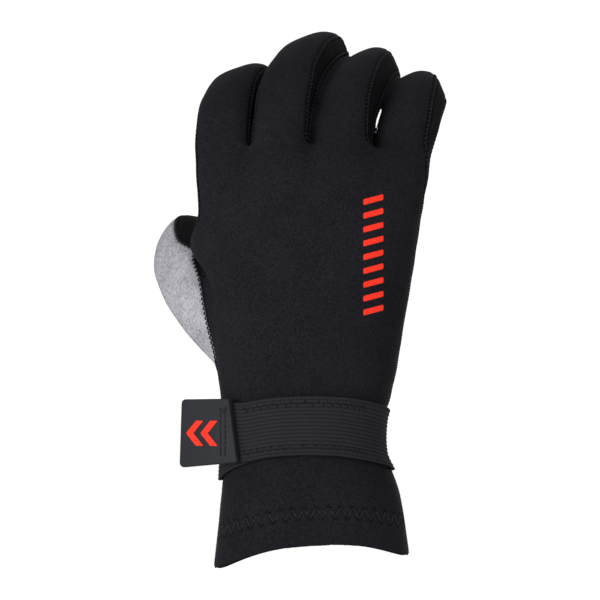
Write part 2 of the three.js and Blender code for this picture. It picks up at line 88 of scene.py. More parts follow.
# Driving sizes
WALL = 2.5
GRID = 0.87  # spacing of the skin's mesh
RIM_ROUND = 1.2  # how the cuff's edge rolls in
HAND_TOP = 158.0
HAND_SQUARENESS = 2.5
DIGIT_SQUARENESS = 2.6
BLEND_HAND = 6.5  # how softly the fingers grow out of the hand
BLEND_SIDES, HAND_SIDES = 1.5, (30, 41)  # the same at the hand's two sides, between these x
BLEND_THUMB = 4.5
BLEND_FINGERS = (0.8, 3.6, 2.7)  # between neighbours, from the index to the little finger
RIM_ROLL, RIM_SADDLE, RIM_FADE = 2.6, 6.8, 46.0
WEB_SLOPE, WEB_MIDDLE, WEB_FROM, WEB_TO = 0.4, 2.0, 140.0, 158.0
LIFT_REACH = 1.2  # how far outside the section the lift still grows, in half widths
# The thumb stretches the hand's side outwards at this height
WEB_BULGE, WEB_BULGE_AT, WEB_BULGE_TALL, WEB_BULGE_SIDE = 4.6, 122.5, 8, (30, 42)
TOP_ROUND = 3.0
RIM_OPEN, RIM_TRIM = 0.98, 0.12  # the rolled edge is cut off just before it turns level
DIGIT_REACH, NOT_NEAR, DEEPEST = 30.0, 500.0, -20.0  # limits of a digit's distances
AT_ONCE = 60000  # points that are looked up together
# Unevenness of the soft skin: depth, wave length and seed
RIPPLES, RIPPLE_FADE = ((0.22, 26, 5), (0.1, 11, 8)), (8, 30)

# Sections of the hand: height, middle x, half width, reach to the back, reach to the palm
HAND = np.array([
    (0, 0.0, 38.8, 28.6, 28.6),
    (24, -0.4, 35.4, 25.0, 25.4),
    (32, -1.5, 33.6, 24.0, 24.3),
    (40, -3.2, 31.6, 23.0, 23.4),
    (53, -3.2, 31.6, 22.2, 22.8),
    (61, -2.4, 33.4, 22.1, 23.0),
    (70, -1.9, 34.9, 21.8, 23.4),
    (86, -1.4, 36.9, 21.2, 24.2),
    (104, -0.6, 39.4, 20.6, 23.4),
    (120, -0.9, 42.3, 20.2, 20.6),
    (136, -0.8, 44.2, 18.2, 17.0),
    (147, -0.2, 44.4, 14.0, 14.6),
    (154, 0.1, 44.0, 9.8, 13.2),
    (158, 0.1, 43.0, 6.8, 12.0),
])

# How far each digit's rounded tip reaches, and its centre line: x, y, z, half width,
# half depth, turn in degrees
DIGITS = {
    "index": (8.5, [
        (-33.6, -2.6, 136, 9.8, 9.8, 0),
        (-35.0, 0.6, 150, 11.0, 11.0, 2),
        (-34.8, 6.5, 165, 11.2, 10.8, 9),
        (-32.9, 15.0, 176.5, 11.2, 10.6, 16),
        (-29.3, 26.0, 183, 11.2, 10.3, 20),
        (-25.4, 37.0, 185.4, 10.9, 10.1, 22),
        (-22.8, 45.0, 185.6, 10.0, 9.6, 22),
    ]),
    "middle": (8.8, [
        (-12.6, -4.6, 138, 10.8, 10.4, 0),
        (-12.5, -2.4, 153, 11.6, 11.4, 2),
        (-11.3, 5.0, 170, 11.6, 11.2, 11),
        (-8.5, 15.0, 185, 11.6, 11.0, 18),
        (-3.6, 28.0, 193.7, 11.4, 10.7, 22),
        (1.3, 41.0, 197.6, 10.8, 10.4, 24),
        (4.8, 51.5, 198.6, 10.0, 9.8, 24),
    ]),
    "ring": (8.6, [
        (11.8, -4.4, 137, 10.8, 10.4, 0),
        (11.8, -1.8, 152, 11.6, 11.3, 3),
        (13.0, 5.6, 168, 11.3, 11.0, 12),
        (16.0, 15.5, 181, 10.9, 10.8, 19),
        (20.0, 27.5, 188.3, 10.6, 10.4, 23),
        (23.4, 39.5, 191.6, 10.3, 10.1, 25),
        (25.2, 49.0, 192.5, 9.8, 9.6, 25),
    ]),
    "little": (8.0, [
        (33.2, -1.8, 134, 9.6, 9.6, 0),
        (35.0, 2.0, 148, 11.0, 10.6, 3),
        (36.4, 8.0, 161, 11.2, 10.4, 12),
        (39.2, 16.0, 172, 11.2, 10.2, 18),
        (41.4, 25.0, 179, 11.0, 9.9, 22),
        (42.8, 34.0, 182.6, 10.4, 9.7, 23),
        (43.4, 41.5, 183.4, 9.6, 9.2, 23),
    ]),
    "thumb": (9.5, [
        (-15.4, 7.0, 72, 13.6, 13.4, 0),
        (-28.6, 12.0, 87.4, 14.6, 14.4, 0),
        (-41.6, 19.5, 102.4, 14.6, 14.0, 0),
        (-49.0, 30.0, 114, 13.2, 12.8, 0),
        (-50.2, 42.0, 120.8, 12.2, 11.8, 0),
        (-48.4, 54.5, 122.4, 11.8, 11.2, 0),
        (-44.4, 66.0, 122.4, 10.8, 10.2, 0),
    ]),
}
FINGERS = ("index", "middle", "ring", "little")
THUMB_ACROSS = (0.5, -0.6, 0.8)

# Seams of the hand: height, then the depth y of the back panel's and the palm panel's
# edge on the thumb side, and the same on the little finger's side
SIDE_SEAMS = np.array([
    (-30, 1, 1, 0.6, 0.6),
    (72, 2, 2, 0.8, 0.8),
    (102, 6.2, 6.2, 1.0, 1.0),
    (111, 6, 13, 1.0, 1.0),
    (121, 1, 17, 0.7, 1.6),
    (132, -4.0, 13, 0.2, 3.4),
    (144, -5.0, 7.5, -1.6, 6.5),
    (154, -3.6, 7.4, -0.8, 9.8),
    (163, 0.1, 11.0, 4.0, 14.4),
])
SEAM_SIDE_X = 34.0
SEAM_MIDDLE_BACK, SEAM_MIDDLE_PALM = -6.0, 5.4
WEB_SEAM_Z = 138.0
ABOVE_WEBS = 2.5
# The fingers' seams: share of the half depth, and what is added to it on the palm side
CORNER, PALM_CORNER = 0.5, 0.1
SEAM_CLOSES_AT = 0.79
# How far panels reach beyond a digit's skin, and seam lengths for a row of its table
THUMB_REACH, FINGER_REACH, STRIP_REACH, THUMB_ROW, FINGER_ROW = 4.0, 3.0, 6.0, 15.0, 14.0
WRIST_SEAM = np.array([(-60, 86), (-35, 85), (-25, 70), (60, 68)])
# where the thumb strip's edges run: row, share of the half width
GUSSET = np.array([(2, 0.99), (2.7, 0.96), (3.1, 0.78), (3.6, 0.72)])
# How far outside the hand the thumb's seam lies, rising between two heights
THUMB_SEAM_OUT = ((4.0, 66.0, 104.0), (1.0, 108.0, 123.0))
SEAM_ROUNDING = 1.5  # how softly two seams join at a web

BACK, PALM, CUFF, THUMB, STRIP = 0, 1, 2, 3, 4  # the strips are STRIP and the next four


# Reading the tables


def smooth_step(value, low, high):
    share = np.clip((value - low) / (high - low), 0, 1)
    return share * share * (3 - 2 * share)


def bell(distance, wide):
    return np.exp(-((distance / wide) ** 2))


def smooth_table(rows, at):
    """Reads a table at values of its first column, on a smooth curve."""
    key, columns = rows[:, 0], rows[:, 1:]
    rank = np.arange(len(key))
    before, after = np.maximum(rank - 1, 0), np.minimum(rank + 1, rank[-1])
    slope = (columns[after] - columns[before]) / (key[after] - key[before])[:, None]
    i = np.clip(np.searchsorted(key, at, side="right") - 1, 0, len(key) - 2)
    span = key[i + 1] - key[i]
    f = np.clip((at - key[i]) / span, 0, 1)[:, None]
    a, b = columns[i], columns[i + 1]
    ma, mb = slope[i] * span[:, None], slope[i + 1] * span[:, None]
    return (
        a * (2 * f**3 - 3 * f**2 + 1)
        + ma * (f**3 - 2 * f**2 + f)
        + b * (3 * f**2 - 2 * f**3)
        + mb * (f**3 - f**2)
    )


LEVELS = np.arange(0, HAND_TOP + 0.25, 0.5)
HAND_FINE = smooth_table(HAND, LEVELS)


def hand_section(level):
    return [np.interp(level, LEVELS, HAND_FINE[:, c]) for c in range(4)]


def hand_lift(level, sideways, depth, y):
    at_rim = 1 - smooth_step(level, 0, RIM_FADE)
    at_webs = smooth_step(level, WEB_FROM, WEB_TO)
    return at_rim * (RIM_ROLL * sideways + RIM_SADDLE * (np.abs(depth) ** 3 - 0.5)) - (
        at_webs * WEB_SLOPE * (y - WEB_MIDDLE)
    )


def hand_distance(points):
    """Roughly how far points lie outside the hand, and their level in its table."""
    x, y, z = points.T
    level = z
    for last in (False, False, False, False, True):
        middle, half, back, palm = hand_section(level)
        sideways = (x - middle) / half
        depth = y / np.where(y < 0, back, palm)
        if not last:
            held = [np.clip(share, -LIFT_REACH, LIFT_REACH) for share in (sideways, depth)]
            level = z - hand_lift(level, *held, y)
    power = HAND_SQUARENESS
    ring = (np.abs(sideways) ** power + np.abs(depth) ** power) ** (1 / power)
    reach = np.hypot(x - middle, y)
    side = reach - reach / np.maximum(ring, 0.05)
    from_rim = np.clip(RIM_ROUND - level, 0, RIM_ROUND)
    side = side + RIM_ROUND - np.sqrt(RIM_ROUND**2 - from_rim**2 * RIM_OPEN)
    web = WEB_BULGE * bell(z - WEB_BULGE_AT, WEB_BULGE_TALL) * smooth_step(-x, *WEB_BULGE_SIDE)
    return smooth_union(side, level - HAND_TOP, -TOP_ROUND) - web, level


def smooth_union(a, b, softness):
    """The lesser of two distances, rounded where they meet; negative for the greater."""
    sign, k = np.sign(softness), abs(softness)
    near = np.maximum(k - np.abs(a - b), 0) / k
    return sign * (np.minimum(sign * a, sign * b) - near * near * k / 4)


def unit(vectors):
    return vectors / np.linalg.norm(vectors, axis=-1, keepdims=True)


PER_ROW = 14  # samples of a digit's centre line for each row of its table


class Digit:
    """A digit's centre line, sampled finely, with its directions and sizes."""

    def __init__(self, name):
        self.tip, rows = DIGITS[name]
        rows = np.array(rows, float)
        t = np.arange((len(rows) - 1) * PER_ROW + 1) / PER_ROW
        i = np.minimum(t.astype(int), len(rows) - 2)
        f = (t - i)[:, None]
        a, b, c, d = (rows[np.clip(i + k, 0, len(rows) - 1)] for k in (-1, 0, 1, 2))
        read = b + 0.5 * f * (
            c - a + f * (2 * a - 5 * b + 4 * c - d + f * (3 * (b - c) + d - a))
        )
        self.middle = read[:, :3]
        self.sizes = read[:, 3:5]
        self.along = unit(np.gradient(self.middle, axis=0))
        across = np.array(THUMB_ACROSS if name == "thumb" else (1.0, 0.0, 0.0))
        across = unit(across - (self.along @ across)[:, None] * self.along)
        turn = np.radians(read[:, 5:6])
        self.side = across * np.cos(turn) + np.cross(across, self.along) * np.sin(turn)
        self.back = np.cross(self.side, self.along)
        self.steps = np.linalg.norm(np.diff(self.middle, axis=0), axis=1)
        self.low = self.middle.min(0) - DIGIT_REACH
        self.high = self.middle.max(0) + DIGIT_REACH

    def read(self, points):
        """Local coordinates of points: sideways, to the back, beyond the ends, row, sizes."""
        nearest = np.empty(len(points), int)
        for start in range(0, len(points), AT_ONCE):
            part = points[start : start + AT_ONCE]
            apart = (self.middle**2).sum(1)[None] - 2 * part @ self.middle.T
            nearest[start : start + AT_ONCE] = apart.argmin(1)
        last = len(self.middle) - 1
        off = ((points - self.middle[nearest]) * self.along[nearest]).sum(1)
        step = np.where(off > 0, self.steps[np.minimum(nearest, last - 1)],
                        self.steps[np.maximum(nearest - 1, 0)])
        t = np.clip(nearest + off / step, 0, last)
        i = np.minimum(t.astype(int), last - 1)
        f = (t - i)[:, None]
        mix = lambda table: table[i] * (1 - f) + table[i + 1] * f
        rel = points - mix(self.middle)
        u = (rel * mix(self.side)).sum(1)
        v = (rel * mix(self.back)).sum(1)
        w = (rel * mix(self.along)).sum(1)
        half, depth = mix(self.sizes).T
        w = np.where((t >= last) | (t <= 0), w, 0)
        return u, v, w, t / PER_ROW, half, depth

    def distance(self, points):
        far = np.full(len(points), NOT_NEAR)
        close = np.all((points > self.low) & (points < self.high), axis=1)
        u, v, w, _, half, depth = self.read(points[close])
        power = DIGIT_SQUARENESS
        ring = (np.abs(u / half) ** power + np.abs(v / depth) ** power) ** (2 / power)
        ball = np.sqrt(ring + (w / np.where(w > 0, self.tip, depth)) ** 2)
        reach = np.sqrt(u * u + v * v + w * w)
        far[close] = np.maximum(reach - reach / np.maximum(ball, 0.05), DEEPEST)
        return far


digits = {name: Digit(name) for name in DIGITS}


def ripple(points, wave, seed):
    """A smooth, gentle unevenness between -1 and 1."""
    rng = np.random.default_rng(seed)
    total = 0
    for _ in range(5):
        direction = unit(rng.normal(size=3)) * 2 * math.pi / (wave * rng.uniform(0.7, 1.5))
        total = total + np.sin(points @ direction + rng.uniform(0, 2 * math.pi))
    return total / 3


def glove_distance(points):
    """Roughly how far points lie outside the glove."""
    hand, level = hand_distance(points)
    fingers = digits[FINGERS[0]].distance(points)
    for name, softness in zip(FINGERS[1:], BLEND_FINGERS):
        fingers = smooth_union(fingers, digits[name].distance(points), softness)
    at_side = smooth_step(np.abs(points[:, 0]), *HAND_SIDES)
    softness = BLEND_HAND + (BLEND_SIDES - BLEND_HAND) * at_side
    body = smooth_union(hand, fingers, softness)
    body = smooth_union(body, digits["thumb"].distance(points), BLEND_THUMB)
    soft = smooth_step(level, *RIPPLE_FADE)
    return body + soft * sum(deep * ripple(points, wave, seed) for deep, wave, seed in RIPPLES)


def gradient(function, points, step=0.05):
    parts = []
    for axis in range(3):
        shift = np.zeros(3)
        shift[axis] = step
        parts.append((function(points + shift) - function(points - shift)) / (2 * step))
    return np.stack(parts, 1)


def settle(points, passes=3, longest=np.inf):
    """Points moved onto the skin, and the outward directions there."""
    for _ in range(passes):
        slope = gradient(glove_distance, points)
        size = np.maximum((slope**2).sum(1), 0.3)
        move = np.clip(glove_distance(points) / size, -longest, longest)
        points = points - move[:, None] * slope
    return points, unit(gradient(glove_distance, points, 0.4))


# The skin's mesh


def surface_nets(values, origin, step):
    """Points and faces of the surface where a grid of values turns from below zero."""
    inside = values < 0
    cells_shape = tuple(n - 1 for n in values.shape)
    corners = list(np.ndindex(2, 2, 2))
    count = np.zeros(cells_shape, np.uint8)
    for corner in corners:
        count += inside[tuple(slice(c, c + n) for c, n in zip(corner, cells_shape))]
    active = (count > 0) & (count < 8)
    cells = np.argwhere(active)
    index = np.full(cells_shape, -1, np.int64)
    index[active] = np.arange(len(cells))
    total = np.zeros((len(cells), 3))
    number = np.zeros(len(cells))
    for a in corners:
        for axis in range(3):
            if a[axis]:
                continue
            b = tuple(1 if n == axis else a[n] for n in range(3))
            va = values[tuple((cells + a).T)]
            vb = values[tuple((cells + b).T)]
            crossed = (va < 0) != (vb < 0)
            share = va[crossed] / (va[crossed] - vb[crossed])
            point = np.tile(np.array(a, float), (len(share), 1))
            point[:, axis] += share
            total[crossed] += point
            number[crossed] += 1
    vertices = origin + (cells + total / number[:, None]) * step
    quads = []
    for axis in range(3):
        b, c = (axis + 1) % 3, (axis + 2) % 3
        edges = np.argwhere(np.diff(inside, axis=axis))
        fits = (edges[:, b] > 0) & (edges[:, c] > 0)
        fits &= (edges[:, b] < cells_shape[b]) & (edges[:, c] < cells_shape[c])
        edges = edges[fits]
        around = []
        for db, dc in ((-1, -1), (0, -1), (0, 0), (-1, 0)):
            cell = edges.copy()
            cell[:, b] += db
            cell[:, c] += dc
            around.append(index[tuple(cell.T)])
        quad = np.stack(around, 1)
        rising = inside[tuple(edges.T)]
        quads.append(np.where(rising[:, None], quad, quad[:, ::-1]))
    quads = np.concatenate(quads)
    return vertices, np.concatenate([quads[:, [0, 1, 2]], quads[:, [0, 2, 3]]])


SNAP = 0.14  # a point this near the line, as a share of its edge, is moved onto it


def edge_pairs(faces):
    """The three edges of each face, as pairs of point numbers."""
    return faces[:, [0, 1, 1, 2, 2, 0]].reshape(-1, 2)


def split(points, faces, extra, name, chosen):
    """Cuts the chosen faces along the zero line of a field, and their neighbours' edges.
    extra holds the named fields, which are carried to the new points."""
    field = extra[name].copy()
    pairs = np.sort(edge_pairs(faces), axis=1)
    cut = np.repeat(chosen, 3) & (field[pairs[:, 0]] * field[pairs[:, 1]] < 0)
    a, b = pairs[cut].T
    share = field[a] / (field[a] - field[b])
    field[a[share < SNAP]] = 0
    field[b[share > 1 - SNAP]] = 0
    extra[name] = field
    cut = np.repeat(chosen, 3) & (field[pairs[:, 0]] * field[pairs[:, 1]] < 0)
    keys = pairs[:, 0] * len(points) + pairs[:, 1]
    wanted = np.unique(keys[cut])
    a, b = wanted // len(points), wanted % len(points)
    share = (field[a] / (field[a] - field[b]))[:, None]
    fresh = points[a] * (1 - share) + points[b] * share
    for key, value in extra.items():
        part = share[:, 0] if value.ndim == 1 else share
        extra[key] = np.concatenate([value, value[a] * (1 - part) + value[b] * part])
    extra[name][len(points) :] = 0
    place = np.searchsorted(wanted, keys)
    place = np.minimum(place, max(len(wanted) - 1, 0))
    found = np.where(wanted[place] == keys, len(points) + place, -1).reshape(-1, 3)
    marks = (found >= 0).sum(1)
    made = [faces[marks == 0]]
    origin = [np.flatnonzero(marks == 0)]
    for turn in range(3):
        p, q, r = (faces[:, (turn + n) % 3] for n in range(3))
        pq, _, rp = (found[:, (turn + n) % 3] for n in range(3))
        one = np.flatnonzero((marks == 1) & (pq >= 0))
        two = np.flatnonzero((marks == 2) & (pq >= 0) & (rp >= 0))
        for which, cut_up in (
            (one, ((p, pq, r), (pq, q, r))),
            (two, ((p, pq, rp), (pq, q, r), (pq, r, rp))),
        ):
            made += [np.stack([corner[which] for corner in face], 1) for face in cut_up]
            origin += [which] * len(cut_up)
    points = np.concatenate([points, fresh])
    return points, np.concatenate(made), np.concatenate(origin)


def seam_depth(x, z, column, middle_depth):
    sides = [np.interp(z, SIDE_SEAMS[:, 0], SIDE_SEAMS[:, column + n]) for n in (0, 2)]
    side = np.where(x < 0, sides[0], sides[1])
    share = np.clip(np.abs(x) / SEAM_SIDE_X, 0, 1)
    ramp = smooth_step(z, WEB_SEAM_Z, WEB_SEAM_Z + 10)
    middle = side + (middle_depth - side) * ramp
    return middle + (side - middle) * share


def panel_fields(points):
    """The fields whose signs say which panel a point of the skin belongs to."""
    x, y, z = points.T
    hand, level = hand_distance(points)
    thumb = digits["thumb"]
    seam_out = sum(out * smooth_step(z, low, high) for out, low, high in THUMB_SEAM_OUT)
    apart = thumb.distance(points)
    on_thumb = np.minimum(np.minimum(hand - apart, THUMB_REACH - apart), hand - seam_out)
    fields = {"level": level - RIM_TRIM, "thumb": on_thumb}
    u, _, w, row, half, _ = thumb.read(points)
    strip_edge = np.interp(row, *GUSSET.T) * half * seam_opening(w, thumb.tip)
    fields["gusset"] = np.minimum(u - strip_edge, (row - GUSSET[0, 0]) * THUMB_ROW)
    top = HAND_TOP + ABOVE_WEBS - WEB_SLOPE * (y - WEB_MIDDLE) - z
    back = np.minimum(seam_depth(x, z, 1, SEAM_MIDDLE_BACK) - y, top)
    palm = np.minimum(y - seam_depth(x, z, 2, SEAM_MIDDLE_PALM), top)
    strip = np.where(x < 0, STRIP, STRIP + 4)
    nearest = np.full(len(points), STRIP_REACH)
    for number, name in enumerate(FINGERS):
        digit = digits[name]
        apart = digit.distance(points)
        u, v, w, row, _, depth = digit.read(points)
        edge = CORNER * depth * seam_opening(w, digit.tip)
        here = np.minimum((row - 1) * FINGER_ROW, FINGER_REACH - apart)
        back = smooth_union(back, np.minimum(v - edge, here), -SEAM_ROUNDING)
        edge = edge + PALM_CORNER * depth
        palm = smooth_union(palm, np.minimum(-v - edge, here), -SEAM_ROUNDING)
        closer = apart < nearest
        nearest = np.where(closer, apart, nearest)
        strip = np.where(closer, STRIP + number + (u > 0), strip)
    fields["back"], fields["palm"] = back, palm
    fields["cuff"] = np.interp(x, WRIST_SEAM[:, 0], WRIST_SEAM[:, 1]) - z
    fields["strip"] = strip.astype(float)
    return fields


def seam_opening(forward, tip):
    """How far a finger's two seams are apart, from 1 along it to 0 near its tip."""
    keep = np.sqrt(np.clip(1 - (np.maximum(forward, 0) / tip) ** 2, 0, 1))
    return np.maximum(keep - SEAM_CLOSES_AT, 0) / (1 - SEAM_CLOSES_AT)


def make_skin():
    """Points, faces, a panel number for each face, and outward directions."""
    low = np.array([-68.0, -33.0, -14.0])
    high = np.array([60.0, 82.0, 213.0])
    counts = np.ceil((high - low) / GRID).astype(int) + 1
    values = np.empty(tuple(counts), np.float32)
    ys, zs = (low[a] + GRID * np.arange(counts[a]) for a in (1, 2))
    for start in range(0, counts[0], 20):
        xs = low[0] + GRID * np.arange(start, min(start + 20, counts[0]))
        grid = np.stack(np.meshgrid(xs, ys, zs, indexing="ij"), -1)
        values[start : start + 20] = glove_distance(grid.reshape(-1, 3)).reshape(
            grid.shape[:3]
        )
    points, faces = surface_nets(values, low, GRID)
    points, outward = settle(points, 2, 0.5)
    extra = panel_fields(points)
    extra["normal"] = outward

    points, faces, _ = split(points, faces, extra, "level", np.ones(len(faces), bool))
    middle = extra["level"][faces].mean(1)
    faces = faces[middle > 0]
    panel = np.full(len(faces), STRIP)

    def part(name, source, inside):
        """Gives the side of the source panel where the field is positive a new number."""
        nonlocal points, faces, panel
        points, faces, origin = split(points, faces, extra, name, panel == source)
        panel = panel[origin]
        panel[(panel == source) & (extra[name][faces].mean(1) > 0)] = inside

    part("thumb", STRIP, THUMB)
    part("gusset", THUMB, STRIP)
    gusset = (extra["thumb"][faces].mean(1) > 0) & (panel == STRIP)
    panel[gusset] = -1
    part("back", STRIP, BACK)
    part("palm", STRIP, PALM)
    part("cuff", PALM, CUFF)
    strips = panel == STRIP
    near = np.round(extra["strip"][faces]).astype(int)
    panel[strips] = np.median(near, axis=1).astype(int)[strips]
    panel[panel == -1] = STRIP
    used, faces = np.unique(faces, return_inverse=True)
    return points[used], faces.reshape(-1, 3), panel, unit(extra["normal"][used])


def seam_edges(faces, panel):
    """Edges between faces of different panels."""
    owner = np.repeat(panel, 3)
    key = np.sort(edge_pairs(faces), axis=1)
    order = np.lexsort((key[:, 1], key[:, 0]))
    key, owner = key[order], owner[order]
    first = np.flatnonzero(np.all(key[1:] == key[:-1], axis=1))
    return key[first[owner[first] != owner[first + 1]]]


def chains(edges):
    """Orders edges into lines of point numbers."""
    neighbours = {}
    for a, b in edges.tolist():
        neighbours.setdefault(a, []).append(b)
        neighbours.setdefault(b, []).append(a)
    lines, seen = [], set()
    pair = lambda a, b: (min(a, b), max(a, b))
    ends = sorted(p for p, near in neighbours.items() if len(near) != 2)
    for start in [*ends, *sorted(neighbours)]:
        for step in neighbours[start]:
            if pair(start, step) in seen:
                continue
            line, here = [start], step
            seen.add(pair(start, step))
            while True:
                line.append(here)
                if len(neighbours[here]) != 2:
                    break
                onward = [n for n in neighbours[here] if pair(here, n) not in seen]
                if not onward:
                    break
                seen.add(pair(here, onward[0]))
                here = onward[0]
            lines.append(line)
    return lines


# Objects and materials


def add_mesh(name, points, faces, look, smooth=True):
    mesh = bpy.data.meshes.new(name)
    mesh.from_pydata((np.asarray(points) * MM).tolist(), [], [list(f) for f in faces])
    mesh.update()
    mesh.polygons.foreach_set("use_smooth", np.full(len(mesh.polygons), smooth))
    mesh.materials.append(look)
    return put(name, mesh)


def set_values(piece, **values):
    """Notes a number for each point of a piece, for its material to read."""
    for name, numbers in values.items():
        piece.data.attributes.new(name, "FLOAT", "POINT").data.foreach_set("value", numbers)


def attach(piece, slot, *nodes):
    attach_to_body(piece, "root")
    if nodes:
        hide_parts(*nodes)
    return piece


class Look:
    """A material and short ways to add nodes to it."""

    def __init__(self, name, roughness, specular):
        self.material = bpy.data.materials.new(name)
        self.material.use_nodes = True
        self.tree = self.material.node_tree
        self.shader = self.tree.nodes["Principled BSDF"]
        self.shader.inputs["Roughness"].default_value = roughness
        self.shader.inputs["Specular IOR Level"].default_value = specular
        self.where = self.node("TexCoord").outputs["Object"]

    def link(self, source, target):
        self.tree.links.new(source, target)

    def node(self, kind, **values):
        made = self.tree.nodes.new("ShaderNode" + kind)
        for key, value in values.items():
            if key in made.inputs:
                made.inputs[key].default_value = value
            else:
                setattr(made, key, value)
        return made

    def scaled(self, scale, turn=(0, 0, 0)):
        mapping = self.node("Mapping", Scale=scale, Rotation=turn)
        self.link(self.where, mapping.inputs["Vector"])
        return mapping.outputs["Vector"]

    def noise(self, scale, detail=3.0, roughness=0.6, vector=None):
        made = self.node("TexNoise", Scale=scale, Detail=detail, Roughness=roughness)
        self.link(vector or self.where, made.inputs["Vector"])
        return made.outputs["Fac"]

    def ramp(self, factor, stops):
        made = self.node("ValToRGB")
        elements = made.color_ramp.elements
        while len(elements) < len(stops):
            elements.new(0.5)
        for element, (place, colour) in zip(elements, stops):
            element.position = place
            element.color = (*colour, 1)
        self.link(factor, made.inputs["Fac"])
        return made.outputs["Color"]

    def math(self, operation, *values):
        made = self.node("Math", operation=operation)
        for socket, value in zip(made.inputs, values):
            if isinstance(value, (int, float)):
                socket.default_value = value
            else:
                self.link(value, socket)
        return made.outputs["Value"]

    def weighed(self, *parts):
        """The sum of values, each times its weight."""
        total = 0.0
        for value, weight in parts:
            total = self.math("MULTIPLY_ADD", value, weight, total)
        return total

    def attribute(self, name):
        return self.node("Attribute", attribute_name=name).outputs["Fac"]

    def bump(self, height, distance, strength=1.0, under=None):
        made = self.node("Bump", Distance=distance, Strength=strength)
        self.link(height, made.inputs["Height"])
        if under:
            self.link(under, made.inputs["Normal"])
        return made.outputs["Normal"]

    def finish(self, colour, normal=None):
        self.link(colour, self.shader.inputs["Base Color"])
        if normal:
            self.link(normal, self.shader.inputs["Normal"])
        return self.material


def linear(*rgb):
    """A colour given as it looks on a screen, from 0 to 255."""
    parts = [c / 255 for c in rgb]
    return tuple(c / 12.92 if c < 0.0405 else ((c + 0.055) / 1.055) ** 2.4 for c in parts)


def grey(level, blue=0):
    """A grey given as it looks on a screen, with a little more blue."""
    return linear(level, level, level + blue)


def jersey(name, dark, light, specular):
    """Neoprene faced with fine knitted nylon, with painted shade in the needle holes and seams.
    """
    look = Look(name, 0.85, specular)
    cloudy = look.noise(45, 4.0)
    fine = look.noise(1300, 3.0, 0.7)
    # painted shade from the points' attribute darkens the needle holes and seams
    tone = look.weighed((cloudy, 0.2), (fine, 0.8), (look.attribute("sewn"), -1))
    colour = look.ramp(tone, [(0.0, grey(6, 1)), (0.42, dark), (0.58, light)])
    knit = look.node("TexWave", Scale=900.0, Distortion=1.5, Detail=2.0, bands_direction="Z")
    look.link(look.where, knit.inputs["Vector"])
    height = look.weighed((knit.outputs["Fac"], 0.5), (fine, 1))
    puckers = look.bump(look.noise(160, 3.0), 0.0004, 0.35)
    return look.finish(colour, look.bump(height, 0.00012, 0.8, puckers))


def brushed_palm():
    """Pale synthetic suede, mottled in short streaks."""
    look = Look("palm_suede", 0.95, 0.1)
    streaks = look.noise(1000, 4.0, 0.75, look.scaled((1.0, 1.0, 0.75), (0, 0.7, 0)))
    spots = look.noise(2200, 2.0)
    cloud = look.noise(90, 3.0)
    tone = look.weighed((streaks, 0.5), (spots, 0.3), (cloud, 0.2))
    dark, middle, light = linear(84, 83, 87), linear(125, 124, 129), linear(148, 147, 152)
    colour = look.ramp(tone, [(0.38, dark), (0.5, middle), (0.62, light)])
    return look.finish(colour, look.bump(tone, 0.0003, 0.7))


CORD_STEP = 1.05  # of the fine cords across the elastic


def elastic_weave():
    """Knitted elastic: threads across its ribs, with painted shade in the grooves between the
    ribs and in the needle holes.
    """
    look = Look("ribbed_elastic", 0.8, 0.03)
    cords = look.math("MULTIPLY", look.attribute("along"), 2 * math.pi / CORD_STEP)
    weave = look.math("SINE", cords)
    noise = look.noise(1500, 2.0)
    rib, sewn = look.attribute("rib"), look.attribute("sewn")
    # painted shade: the rib height draws the grooves between the ribs darker, and the needle
    # holes darker still
    tone = look.weighed((rib, 0.6), (noise, 0.3), (weave, 0.34), (sewn, -1), (1, 0.5))
    stops = [(0.0, grey(4, 1)), (0.3, grey(6, 2)), (0.9, grey(31, 4))]
    height = look.weighed((weave, 0.35), (noise, 1))
    return look.finish(look.ramp(tone, stops), look.bump(height, 0.00012, 0.7))


def moulded(name, dark, light, roughness, specular):
    """Smooth rubber or a thick print, with a fine grain."""
    look = Look(name, roughness, specular)
    tone = look.noise(60, 4.0)
    grain = look.noise(3000, 2.0)
    colour = look.ramp(tone, [(0.3, dark), (0.7, light)])
    return look.finish(colour, look.bump(grain, 0.00005, 0.5))


def thread(name, dark, light):
    """Twisted sewing thread."""
    look = Look(name, 0.7, 0.15)
    twist = look.noise(2600, 1.0, 0.5, look.scaled((1, 1, 0.4), (0.4, 0.8, 0)))
    colour = look.ramp(twist, [(0.35, dark), (0.65, light)])
    return look.finish(colour, look.bump(twist, 0.0001, 0.7))


LOOKS = {
    "body": jersey("neoprene_jersey", grey(15, 3), grey(24, 4), 0.03),
    "side": jersey("neoprene_side_jersey", grey(8, 2), grey(12, 3), 0.02),
    "palm": brushed_palm(),
    "elastic": elastic_weave(),
    "rubber": moulded("tab_rubber", linear(23, 24, 28), linear(26, 27, 31), 0.6, 0.1),
    "red": moulded("red_print", linear(192, 38, 24), linear(201, 44, 30), 0.5, 0.05),
    "thread": thread("black_thread", grey(8, 2), grey(23, 3)),
    "hem": thread("hem_thread", grey(10, 2), grey(36, 3)),
}


# The panels

SLOTS = {"body": "neoprene_black", "palm": "palm_grey", "side": "neoprene_side"}
PANELS = {
    BACK: ("back_panel", "body"),
    PALM: ("palm_panel", "palm"),
    CUFF: ("palm_cuff", "body"),
    THUMB: ("thumb_panel", "palm"),
    STRIP: ("thumb_gusset", "side"),
    STRIP + 1: ("fourchette_index_middle", "side"),
    STRIP + 2: ("fourchette_middle_ring", "side"),
    STRIP + 3: ("fourchette_ring_little", "side"),
    STRIP + 4: ("little_side_strip", "side"),
}

points, faces, panel, normals = make_skin()
edges = seam_edges(faces, panel)


def tree_of(marks):
    tree = kdtree.KDTree(len(marks))
    for i, mark in enumerate(marks):
        tree.insert(mark, i)
    tree.balance()
    return tree


def nearness(points, marks):
    """How far each point is from the nearest mark."""
    tree = tree_of(marks)
    return np.array([tree.find(p)[2] for p in points])


